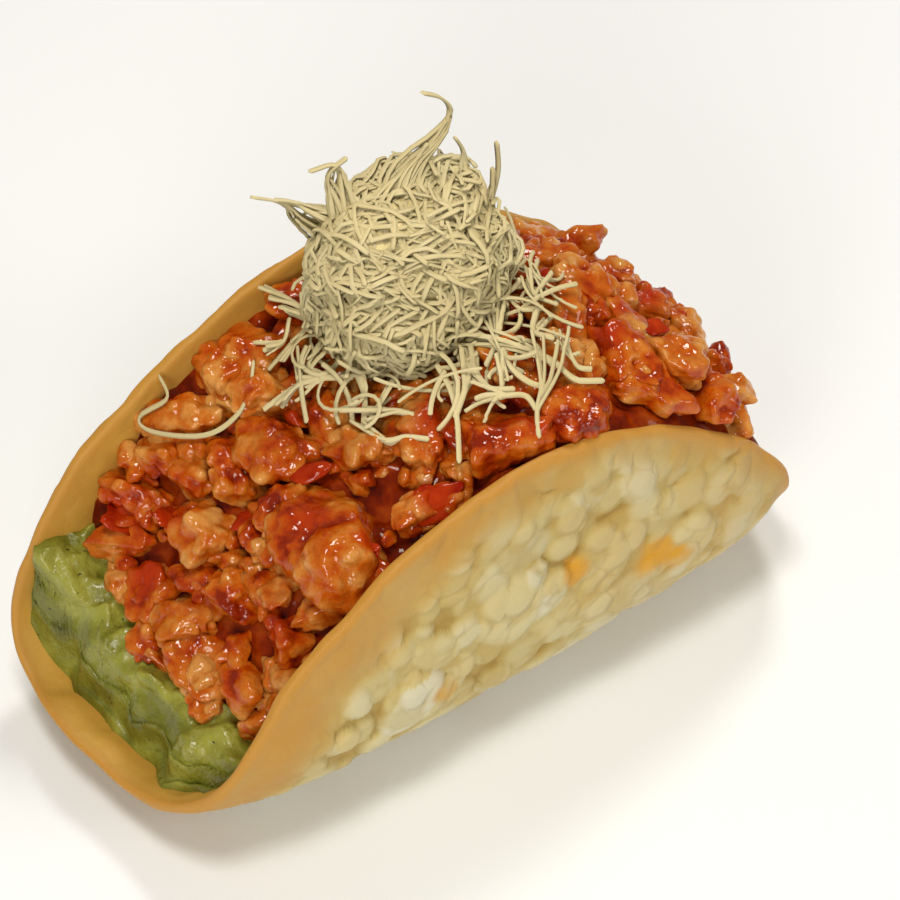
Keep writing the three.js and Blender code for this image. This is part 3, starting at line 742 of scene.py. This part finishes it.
def chilli_material():
    """Cooked chilli skin: clear bright red and glossy."""
    material, tree, shader = new_material("chilli")
    red = ramp(tree, grain(tree, 300, 2), (0.35, (0.26, 0.008, 0.001)), (0.65, (0.42, 0.035, 0.003)))
    tree.links.new(red, shader.inputs["Base Color"])
    shader.inputs["Roughness"].default_value = 0.4
    shader.inputs["Specular IOR Level"].default_value = 0.0
    shader.inputs["Coat Weight"].default_value = 0.4
    shader.inputs["Coat Roughness"].default_value = 0.05
    bumped(tree, shader, grain(tree, 700, 2), 0.0004)
    return material


flake_size = np.stack([FLAKES[:, 3], FLAKES[:, 3] * 0.7, np.full(len(FLAKES), 0.35)], -1)
flake_tilt = np.random.default_rng(97).normal(0, 0.3, (2, len(FLAKES)))
flake_tilt[1] += 0.5
flake_spins = spins_of(np.radians(FLAKES[:, 4]), *flake_tilt)
flake_mesh = chunks(FLAKES[:, :3] - [0, 0, 0.6], flake_size, flake_spins, 100, 14, 20)
piece_of("chilli_flakes", flake_mesh[0], flake_mesh[1], "chicken", "chicken_filling",
         chilli_material())

# ---- Grated cheese --------------------------------------------------------------------------
# A hard pale cheese grated on fine holes, so that each shred is under a millimetre wide and
# curls. A pinch of it was dropped on the middle, where it stands in a springy tuft.

SHRED_SIDES = 4
SHRED_STEPS = 13
LOOSE_STEPS = 40
CROWDED = np.sin(np.linspace(-np.pi / 2, np.pi / 2, SHRED_STEPS)) / 2

# The mound's middle and radii, and two points under it that its shreds turn away from.
MOUND = np.array([3.5, 7.0, 57.5])
MOUND_RADII = np.array([12.0, 10.3, 14.0])
MOUND_FOOT = MOUND - [0, 0, 12]
UNDER_MOUND = MOUND - [0, 0, 34]
MOUND_SHREDS = 1550
FALLEN_SHREDS = 60


def unit(vectors):
    """The vectors, each brought to length one."""
    return vectors / np.linalg.norm(vectors, axis=-1, keepdims=True)


def strands(paths, radii):
    """Shreds as tubes of a few sides along smooth paths, paths[strand, step]. A ring lies
    square to the path's direction t, on u = t x a and v = t x u, where a points out from under
    the mound. It is half as high as it is wide, so that shreds lie flat. The steps crowd
    towards the ends, and only the last ring is narrower."""
    count, steps = paths.shape[:2]
    t = unit(np.gradient(paths, axis=1))
    u = unit(np.cross(t, paths - MOUND_FOOT))
    v = np.cross(t, u)
    taper = np.ones(steps)
    taper[[0, -1]] = 0.4
    angle = np.linspace(0, 2 * np.pi, SHRED_SIDES, endpoint=False) + np.pi / SHRED_SIDES
    r = radii[:, None, None, None] * taper[None, :, None, None]
    ring = np.cos(angle)[:, None] * u[:, :, None] * 1.3 + np.sin(angle)[:, None] * v[:, :, None] * 0.7
    points = paths[:, :, None] + r * ring
    number = np.arange(count)[:, None, None] * steps * SHRED_SIDES
    faces = (grid_faces(steps, SHRED_SIDES, True)[None] + number).reshape(-1, 4)
    ends = [list(range(a, a + SHRED_SIDES))[::-1] for a in number.ravel()]
    last = (steps - 1) * SHRED_SIDES
    ends += [list(range(a + last, a + last + SHRED_SIDES)) for a in number.ravel()]
    return points.reshape(-1, 3), faces.tolist() + ends


def through(knots):
    """A smooth path of LOOSE_STEPS through a few knots, by cubic blends between them."""
    knots = np.asarray(knots, float)
    k = np.vstack([2 * knots[0] - knots[1], knots, 2 * knots[-1] - knots[-2]])
    at = np.linspace(0, len(knots) - 1 - 1e-9, LOOSE_STEPS)
    i = at.astype(int)
    f = (at - i)[:, None]
    a, b, c, d = k[i], k[i + 1], k[i + 2], k[i + 3]
    return 0.5 * (2 * b + (c - a) * f + (2 * a - 5 * b + 4 * c - d) * f**2 + (3 * b - a - 3 * c + d) * f**3)


def mound_skin(ways):
    """The mound's surface in some directions: an ellipsoid swollen by noise, made boxier above
    its middle by widening it by 1 / (1 - z^2)^0.32, and drawn in below."""
    swollen = 1 + 0.22 * swell(ways * 2.2, 95) + 0.14 * swell(ways * 5, 96)
    z = ways[..., 2]
    within = np.maximum(1 - z**2, 0.2)
    flare = np.where(z < 0, within**-0.15 * (1 - 0.22 * smooth(-z, 0, 0.7)), within**-0.32)
    wide = ways * np.stack([flare, flare, np.ones_like(z)], -1)
    return MOUND + wide * MOUND_RADII * swollen[..., None]


def mound_strands(rng, count):
    """Curled shreds all over the mound. Each is an arc of radius length / curl that starts
    along the skin and curls sideways, R sin(a) w + R (1 - cos(a)) v, and is then drawn most
    of the way to the skin. The lower ones run mostly down and stand out more."""
    way = unit(rng.normal(size=(count, 3)) + np.array([0, 0, 0.1]))
    middle = mound_skin(way) - way * rng.uniform(-0.7, 0.5, (count, 1))
    low = smooth(-way[:, 2:], -0.2, 0.6)
    fall = np.cross(way, np.cross([0, 0, 1.0], way)) * rng.choice([-1, 1], (count, 1))
    w = np.cross(way, rng.normal(size=(count, 3))) + (0.6 + 2.0 * low) * fall
    w = unit(w + 0.12 * way * rng.normal(size=(count, 1)))
    inward = rng.uniform(0.1, 1.0, (count, 1)) - 0.6 * low
    v = unit(np.cross(way, w) * rng.choice([-1, 1], (count, 1)) - way * inward)
    length = rng.uniform(8, 21, (count, 1, 1))
    curl = rng.uniform(1.6, 6.8, (count, 1, 1)) * (1 - 0.5 * low[:, :, None])
    angle = curl * CROWDED[None, :, None]
    radius = length / curl
    lean = 0.16 * length * np.sin(angle * 2.3 + rng.uniform(0, 6, (count, 1, 1)))
    path = radius * np.sin(angle) * w[:, None] + radius * (1 - np.cos(angle)) * v[:, None]
    path = middle[:, None] + path + lean * np.cross(w, v)[:, None]
    height = rng.uniform(-0.5, 0.9, (count, 1, 1)) + rng.normal(0, 1.5, (count, 1, 1)) * CROWDED[:, None]
    out = unit(path - MOUND)
    return path + (0.72 - 0.16 * low[:, :, None]) * (mound_skin(out) + out * height - path)


def lying_strands(rng, count):
    """Shreds fallen round the mound's foot: arcs in plan, laid over the heap's skin."""
    turn = rng.uniform(0, 2 * np.pi, count)
    out = rng.uniform(0.7, 1.15, count)
    x = MOUND[0] + 15.5 * out * np.cos(turn)
    y = MOUND[1] - 4.0 + 13.0 * out * np.sin(turn)
    heading = rng.uniform(0, 2 * np.pi, count)[:, None]
    length = rng.uniform(4, 13, (count, 1))
    curl = rng.uniform(0.3, 3.6, (count, 1)) * rng.choice([-1, 1], (count, 1))
    angle = heading + curl * CROWDED
    x = x[:, None] + length / curl * (np.sin(angle) - np.sin(heading))
    y = y[:, None] - length / curl * (np.cos(angle) - np.cos(heading))
    lift = rng.uniform(1.6, 4.2, (count, 1)) + rng.normal(0, 1.8, (count, 1)) * CROWDED
    z = heap_top(x, np.clip(y, POCKET_FRONT, POCKET_BACK - 2)) + lift
    return np.stack([x, y, z], -1)


def crowding_strands(rng, paths, copies):
    """Shorter shreds that crowd round the start of each path: the path followed for a share
    of the way, from a start moved aside by a millimetre or two that closes in on it."""
    way = (CROWDED + 0.5) * rng.uniform(0.25, 0.75, (copies, 1)) * (LOOSE_STEPS - 1)
    aside = rng.normal(0, 1.3, (len(paths), copies, 1, 3)) * (0.5 - CROWDED)[:, None]
    return (paths[:, np.round(way).astype(int)] + aside).reshape(-1, SHRED_STEPS, 3)


def cheese_material():
    """Pale hard cheese: cream, a touch yellower in some shreds, and slightly waxy. The packed
    core, marked deep, is painted lighter and yellower than the shreds, as painted light in
    the shade of the gaps. Light passes between and through the shreds, so each is shaded
    partly as the mound is: its normal is turned towards the way out from deep under the mound."""
    material, tree, shader = new_material("cheese")
    cream = ramp(tree, grain(tree, 140, 2), (0.3, (0.62, 0.52, 0.265)), (0.7, (0.69, 0.60, 0.34)))
    # Painted light: the core, marked deep, gets a lighter and yellower colour than the shreds, to lift the
    # shade in the gaps.
    inner = mixed(tree, mark(tree, "deep"), cream, (0.84, 0.70, 0.34))
    tree.links.new(inner, shader.inputs["Base Color"])
    shader.inputs["Roughness"].default_value = 0.5
    shader.inputs["Specular IOR Level"].default_value = 0.3
    place = node(tree, "ShaderNodeTexCoord").outputs["Object"]
    away = vector_math(tree, "SUBTRACT", place, UNDER_MOUND * MM)
    outward = vector_math(tree, "NORMALIZE", away)
    facing = node(tree, "ShaderNodeNewGeometry").outputs["Normal"]
    turned = vector_math(tree, "MULTIPLY_ADD", outward, (1.3, 1.3, 1.3), facing)
    tree.links.new(vector_math(tree, "NORMALIZE", turned), shader.inputs["Normal"])
    return material


# The shreds that stand clear of the mound, each through its knots.
STANDING_SHREDS = [
    [[1, 8, 66], [5, 9.6, 73], [10.5, 9.6, 76.5], [12.5, 9.6, 80], [11, 9.6, 83], [8, 9.6, 85.3]],
    [[0, 8.5, 66], [4, 9.8, 72.5], [9.5, 9.8, 76], [12, 9.6, 79]],
    [[3, 8, 67], [6, 9.2, 72], [10, 9.3, 75.5], [12, 9.4, 77.5]],
    [[-1, 9, 67], [3, 9.6, 71.5], [7, 9.8, 74.5], [9, 9.6, 76.5]],
    [[10, 7.6, 64], [12.5, 7.6, 70], [13.2, 7.6, 74], [11.8, 7.6, 77.5]],
    [[11.5, 7.6, 65], [13, 7.6, 69], [13.6, 7.6, 72], [13, 7.6, 75]],
    [[13, 5.6, 58], [15.5, 5.6, 64], [17.2, 5.6, 70], [17, 5.6, 75.5]],
    [[14, 5.6, 60], [15.6, 5.0, 66], [16, 5.0, 72]],
    [[-4, 12, 66], [-8, 13.6, 70], [-11, 13.6, 74], [-15.5, 13.6, 77.3]],
    [[-3, 11, 68], [-7, 13, 71], [-9.5, 13.4, 73.5], [-12, 13.6, 75]],
    [[-3, 10, 68], [-3, 11.6, 74], [-4, 11.6, 78], [-8, 11.6, 79]],
    [[-4, 10, 68], [-4.5, 11.4, 73], [-5, 11.6, 77], [-2.5, 11, 79]],
]

# The longer shreds lying on the chicken, as places along and across that each curls through.
LYING_SHREDS = [
    [[-26, 21.5], [-26.5, 19], [-30, 20.5], [-29.5, 18], [-25, 12], [-21, 10.5], [-18, 12], [-16, 14]],
    [[-12, -4], [-11, -8.5], [-9, -10], [-7, -12.5]], [[0, -5], [-1, -9], [-3, -13], [-6, -17.5]],
    [[4, -7], [0.5, -10], [-3, -12.5]], [[12, -10], [9, -15], [6, -18], [4, -21]],
    [[5, -5], [3, -9], [3, -12], [5.5, -14]], [[5, -4], [9, -8], [12, -13], [13, -17], [16.5, -18.5]],
    [[0.5, -12], [2, -12.5], [4, -14], [6, -15.5], [6, -18]], [[6.5, -10], [5, -12], [3, -14]],
    [[8, -8], [7, -11], [7.5, -14], [9, -16]], [[-11.5, 10], [-14, 6], [-16, 2]],
    [[-13.5, 8], [-11, 5], [-8.5, 2]], [[-9, 9], [-11.5, 8], [-11, 5.5], [-8.5, 5.5], [-8, 8]],
    [[-16.5, 7], [-14, 7], [-11.5, 5.5]], [[-10, 19], [-8, 16], [-7, 12], [-6, 9]],
    [[-9.5, 17], [-7, 12], [-7, 6], [-8, 2.5]], [[-14.5, 14], [-12, 13], [-9.5, 15]],
    [[-13.5, 11], [-10, 12], [-8, 12.5]], [[-7.5, 4], [-9, -1], [-11.5, -4.5]],
    [[-6, -2.5], [-9, -4], [-11.5, -5]], [[-10.5, -3.5], [-8, -6], [-6.5, -8.5]],
    [[14, -1], [14, -4], [16.5, -5.5]], [[26, 16], [23, 9], [20.5, 5]],
    [[16, -11], [15, -13], [14.5, -15.5], [16, -16.5]], [[16, -5], [13, -8], [14.5, -10.5]],
    [[11, -2], [8, -6.5], [4.5, -9]], [[20, 9], [18, 5], [19, 2]], [[18, 0], [17, -3], [18.5, -6]],
]
LYING_HEIGHT = 3.0

cheese_rng = np.random.default_rng(91)
standing = np.stack([through(k) for k in STANDING_SHREDS])
laid = np.stack([through(k) for k in LYING_SHREDS])
laid_height = heap_top(laid[..., 0], laid[..., 1]) + LYING_HEIGHT
laid = np.concatenate([laid, laid_height[..., None]], -1)
cheese_skin = cheese_material()
heaped = np.concatenate([mound_strands(cheese_rng, MOUND_SHREDS),
                         lying_strands(cheese_rng, FALLEN_SHREDS),
                         crowding_strands(cheese_rng, standing, 16),
                         crowding_strands(cheese_rng, laid[1:], 4)])
heaped_radii = cheese_rng.uniform(0.20, 0.35, len(heaped))
piece_of("grated_cheese_shreds", *strands(heaped, heaped_radii), "cheese", "grated_cheese",
         cheese_skin)
loose = np.concatenate([standing, laid])
loose_radii = cheese_rng.uniform(0.32, 0.42, len(loose))
piece_of("grated_cheese_loose_shreds", *strands(loose, loose_radii), "cheese", "grated_cheese",
         cheese_skin)

# The mound's packed middle, one closed ball of shreds seen only through the gaps. Its deep mark makes the
# cheese material paint it lighter and yellower, as painted light in the gaps' shade.
CORE_RINGS = 50
CORE_SPOKES = 70
polar, turn = np.meshgrid(np.linspace(0, np.pi, CORE_RINGS),
                          np.linspace(0, 2 * np.pi, CORE_SPOKES, endpoint=False), indexing="ij")
core_ways = np.stack([np.sin(polar) * np.cos(turn), np.sin(polar) * np.sin(turn), np.cos(polar)], -1)
core_points = MOUND + (mound_skin(core_ways) - MOUND) * 0.99
core_points += 0.35 * swell(core_points / 0.9, 98)[..., None] * core_ways
piece_of("grated_cheese_core", core_points.reshape(-1, 3),
         grid_faces(CORE_RINGS, CORE_SPOKES, True)[:, ::-1], "cheese", "grated_cheese",
         cheese_skin, {"deep": np.ones(CORE_RINGS * CORE_SPOKES)})

# ---- Floor, light and camera ----------------------------------------------------------------
# A plain pale floor under soft studio light, seen from the front left and above.

FLOOR_SIZE = 4.0
bpy.ops.mesh.primitive_plane_add(size=FLOOR_SIZE)
floor = bpy.context.object
floor.name = "floor"
floor_material, _, floor_shader = new_material("floor")
floor_shader.inputs["Base Color"].default_value = (0.91, 0.95, 1.0, 1)
floor_shader.inputs["Roughness"].default_value = 0.9
floor.data.materials.append(floor_material)

scene = bpy.context.scene
scene.view_settings.view_transform = "Standard"
world = bpy.data.worlds.new("studio")
world.use_nodes = True
world.node_tree.nodes["Background"].inputs["Color"].default_value = (1.0, 0.91, 0.76, 1)
world.node_tree.nodes["Background"].inputs["Strength"].default_value = 0.26
scene.world = world


def soft_light(name, place, size, power):
    """A square warm white area light at place, in metres, aimed at the middle of the taco."""
    lamp = bpy.data.lights.new(name, "AREA")
    lamp.size = size
    lamp.energy = power
    lamp.color = (1.0, 0.95, 0.87)
    light = bpy.data.objects.new(name, lamp)
    light.location = place
    aim = Vector((0, 0, 0.04)) - light.location
    light.rotation_euler = aim.to_track_quat("-Z", "Y").to_euler()
    bpy.context.collection.objects.link(light)


soft_light("key", (-0.14, -0.12, 0.68), 0.16, 2.0)
soft_light("back", (0.28, 0.22, 0.60), 0.14, 1.45)
soft_light("left", (-0.50, -0.46, 0.32), 0.25, 2.1)
soft_light("right", (0.40, -0.55, 0.35), 0.25, 1.0)

CAMERA_AZIMUTH = radians(-36.4)
CAMERA_HEIGHT = radians(45.1)
CAMERA_DISTANCE = 0.532
back = Vector((np.sin(CAMERA_AZIMUTH) * np.cos(CAMERA_HEIGHT),
               -np.cos(CAMERA_AZIMUTH) * np.cos(CAMERA_HEIGHT), np.sin(CAMERA_HEIGHT)))
right = Vector((np.cos(CAMERA_AZIMUTH), np.sin(CAMERA_AZIMUTH), 0))
up = back.cross(right)
aim = Vector((0, FOLD_Y, 26.2)) * MM + right * 0.00772 + up * 0.00247
camera = bpy.data.objects.new("camera", bpy.data.cameras.new("camera"))
camera.location = aim + back * CAMERA_DISTANCE
camera.rotation_euler = back.to_track_quat("Z", "Y").to_euler()
camera.data.lens = 157.9
camera.data.clip_start = 0.01
bpy.context.collection.objects.link(camera)
scene.camera = camera
